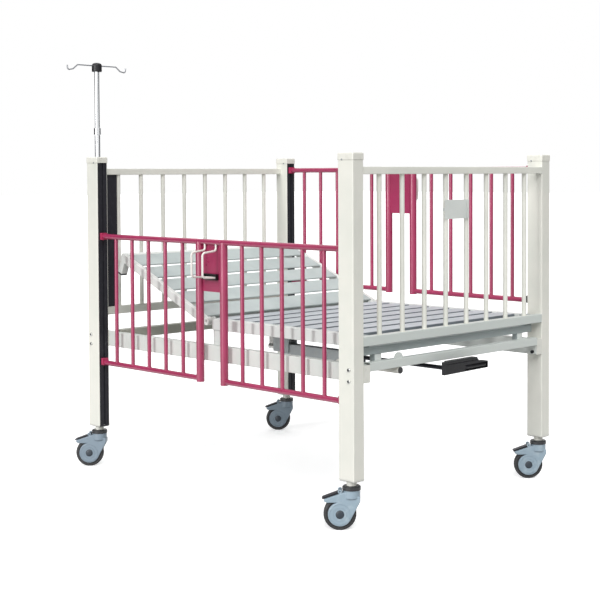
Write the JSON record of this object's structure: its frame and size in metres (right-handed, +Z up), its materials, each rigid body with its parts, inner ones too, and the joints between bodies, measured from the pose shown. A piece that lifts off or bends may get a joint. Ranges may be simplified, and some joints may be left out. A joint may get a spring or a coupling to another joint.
{
  "type": "pediatric hospital cot",
  "caption": "Hospital cot for a child: barred end panels, sliding side rails, slatted platform with a cranked backrest, infusion pole and swivel casters.",
  "frame": {"origin": "on the floor under the middle of the whole cot's box, infusion hooks and crank arm included", "axes": "+X towards the foot end, +Y towards the far long side, +Z up"},
  "size_m": [1.6046, 1.2557, 1.634],
  "materials": {
    "ivory_paint": "semi-gloss powder coat",
    "red_paint": "gloss powder coat",
    "slat_paint": "satin powder coat",
    "white_wire": "gloss coat",
    "chrome_tube": "polished",
    "zinc_steel": "satin zinc plating",
    "caster_steel": "dark satin",
    "nut_brass": "machined",
    "black_plastic": "fine matte",
    "grey_plastic": "satin",
    "ivory_plastic": "satin",
    "red_plastic": "satin",
    "hub_plastic": "satin",
    "black_rubber": "matte",
    "tyre_rubber": "matte"
  },
  "bodies": {
    "cot_frame": {"foot_posts": "ivory_paint", "head_posts": "ivory_paint", "footboard_grid": "ivory_paint", "headboard_grid": "ivory_paint", "rail_guide_strips": "black_plastic", "post_caps": "ivory_plastic", "headboard_side_infill": "black_plastic", "card_holder": "ivory_paint", "base_side_rails": "ivory_paint", "base_cross_members": "ivory_paint", "accessory_tube": "ivory_paint", "tube_end_plugs": "grey_plastic", "frame_bolts": "zinc_steel", "seat_frame": "slat_paint", "seat_slats": "slat_paint", "backrest_hinge_brackets": "slat_paint", "screw_guide_channel": "zinc_steel", "screw_thrust_bearing": "black_plastic", "iv_pole_lower_tube": "chrome_tube", "caster_stems": "caster_steel"},
    "backrest": {"backrest_frame": "slat_paint", "backrest_slats": "slat_paint", "backrest_foot_stubs": "slat_paint", "backrest_foot_pads": "black_rubber", "backrest_hinge_pins": "zinc_steel", "backrest_lift_lever": "zinc_steel"},
    "crank": {"lead_screw": "zinc_steel", "crank_arm": "black_plastic"},
    "crank_handle": {"crank_grip": "black_plastic"},
    "nut_and_rod": {"screw_nut": "nut_brass", "push_rod": "zinc_steel"},
    "near_side_rail": {"near_rail_grid": "red_paint", "near_latch_plate": "red_paint", "near_latch_block": "black_plastic", "near_rail_sliders": "red_plastic"},
    "far_side_rail": {"far_rail_grid": "red_paint", "far_latch_plate": "red_paint", "far_latch_block": "black_plastic", "far_rail_sliders": "red_plastic"},
    "near_handle": {"near_latch_handle": "white_wire"},
    "far_handle": {"far_latch_handle": "white_wire"},
    "iv_pole": {"iv_pole_upper_tube": "chrome_tube", "iv_pole_hub": "black_plastic", "iv_pole_hooks": "chrome_tube"},
    "near_foot_swivel": {"near_foot_caster_fork": "grey_plastic"},
    "near_foot_wheel": {"near_foot_caster_wheel": "hub_plastic", "near_foot_caster_tyre": "tyre_rubber"},
    "near_foot_pedal": {"near_foot_brake_pedal": "black_plastic"},
    "far_foot_swivel": {"far_foot_caster_fork": "grey_plastic"},
    "far_foot_wheel": {"far_foot_caster_wheel": "hub_plastic", "far_foot_caster_tyre": "tyre_rubber"},
    "far_foot_pedal": {"far_foot_brake_pedal": "black_plastic"},
    "near_head_swivel": {"near_head_caster_fork": "grey_plastic"},
    "near_head_wheel": {"near_head_caster_wheel": "hub_plastic", "near_head_caster_tyre": "tyre_rubber"},
    "near_head_pedal": {"near_head_brake_pedal": "black_plastic"},
    "far_head_swivel": {"far_head_caster_fork": "grey_plastic"},
    "far_head_wheel": {"far_head_caster_wheel": "hub_plastic", "far_head_caster_tyre": "tyre_rubber"},
    "far_head_pedal": {"far_head_brake_pedal": "black_plastic"}
  },
  "joints": [
    {"name": "crank_turn", "type": "hinge", "parent": "cot_frame", "child": "crank", "pos_m": [0.7, -0.104, 0.508], "axis": [-1, 0, 0], "range_deg": [-1380, 2400]},
    {"name": "backrest_tilt", "type": "hinge", "parent": "cot_frame", "child": "backrest", "pos_m": [-0.095, 0.036, 0.632], "axis": [0, 1, 0], "range_deg": [-23, 40]},
    {"name": "nut_travel", "type": "slide", "parent": "cot_frame", "child": "nut_and_rod", "axis": [-1, 0, 0], "range_m": [-0.0308, 0.0535]},
    {"name": "crank_grip_fold", "type": "hinge", "parent": "crank", "child": "crank_handle", "pos_m": [0.7995, 0.114, 0.498], "axis": [0, 0, 1], "range_deg": [0, 90]},
    {"name": "near_rail_lift", "type": "slide", "parent": "cot_frame", "child": "near_side_rail", "axis": [0, 0, 1], "range_m": [0, 0.265]},
    {"name": "far_rail_drop", "type": "slide", "parent": "cot_frame", "child": "far_side_rail", "axis": [0, 0, -1], "range_m": [0, 0.265]},
    {"name": "near_handle_swing", "type": "hinge", "parent": "near_side_rail", "child": "near_handle", "pos_m": [0, -0.488, 0.9262], "axis": [-1, 0, 0], "range_deg": [0, 20]},
    {"name": "far_handle_swing", "type": "hinge", "parent": "far_side_rail", "child": "far_handle", "pos_m": [0, 0.56, 1.1912], "axis": [1, 0, 0], "range_deg": [0, 20]},
    {"name": "iv_pole_slide", "type": "slide", "parent": "cot_frame", "child": "iv_pole", "axis": [0, 0, -1], "range_m": [0, 0.22]},
    {"name": "near_foot_swivel_turn", "type": "hinge", "parent": "cot_frame", "child": "near_foot_swivel", "pos_m": [0.716, -0.484, 0.12], "axis": [0, 0, 1], "continuous": true},
    {"name": "near_foot_wheel_roll", "type": "hinge", "parent": "near_foot_swivel", "child": "near_foot_wheel", "pos_m": [0.68809, -0.51124, 0.055], "axis": [0.6984, -0.7157, 0], "continuous": true},
    {"name": "near_foot_brake_press", "type": "hinge", "parent": "near_foot_swivel", "child": "near_foot_pedal", "pos_m": [0.68809, -0.51124, 0.131], "axis": [-0.6984, 0.7157, 0], "range_deg": [0, 12]},
    {"name": "far_foot_swivel_turn", "type": "hinge", "parent": "cot_frame", "child": "far_foot_swivel", "pos_m": [0.716, 0.556, 0.12], "axis": [0, 0, 1], "continuous": true},
    {"name": "far_foot_wheel_roll", "type": "hinge", "parent": "far_foot_swivel", "child": "far_foot_wheel", "pos_m": [0.68809, 0.52876, 0.055], "axis": [0.6984, -0.7157, 0], "continuous": true},
    {"name": "far_foot_brake_press", "type": "hinge", "parent": "far_foot_swivel", "child": "far_foot_pedal", "pos_m": [0.68809, 0.52876, 0.131], "axis": [-0.6984, 0.7157, 0], "range_deg": [0, 12]},
    {"name": "near_head_swivel_turn", "type": "hinge", "parent": "cot_frame", "child": "near_head_swivel", "pos_m": [-0.716, -0.484, 0.12], "axis": [0, 0, 1], "continuous": true},
    {"name": "near_head_wheel_roll", "type": "hinge", "parent": "near_head_swivel", "child": "near_head_wheel", "pos_m": [-0.74391, -0.51124, 0.055], "axis": [0.6984, -0.7157, 0], "continuous": true},
    {"name": "near_head_brake_press", "type": "hinge", "parent": "near_head_swivel", "child": "near_head_pedal", "pos_m": [-0.74391, -0.51124, 0.131], "axis": [-0.6984, 0.7157, 0], "range_deg": [0, 12]},
    {"name": "far_head_swivel_turn", "type": "hinge", "parent": "cot_frame", "child": "far_head_swivel", "pos_m": [-0.716, 0.556, 0.12], "axis": [0, 0, 1], "continuous": true},
    {"name": "far_head_wheel_roll", "type": "hinge", "parent": "far_head_swivel", "child": "far_head_wheel", "pos_m": [-0.74391, 0.52876, 0.055], "axis": [0.6984, -0.7157, 0], "continuous": true},
    {"name": "far_head_brake_press", "type": "hinge", "parent": "far_head_swivel", "child": "far_head_pedal", "pos_m": [-0.74391, 0.52876, 0.131], "axis": [-0.6984, 0.7157, 0], "range_deg": [0, 12]}
  ],
  "couplings": [
    {"joint": "backrest_tilt", "follows": "crank_turn", "ratio": 0.016644},
    {"joint": "nut_travel", "follows": "crank_turn", "m_per_rad": 0.0012732}
  ]
}
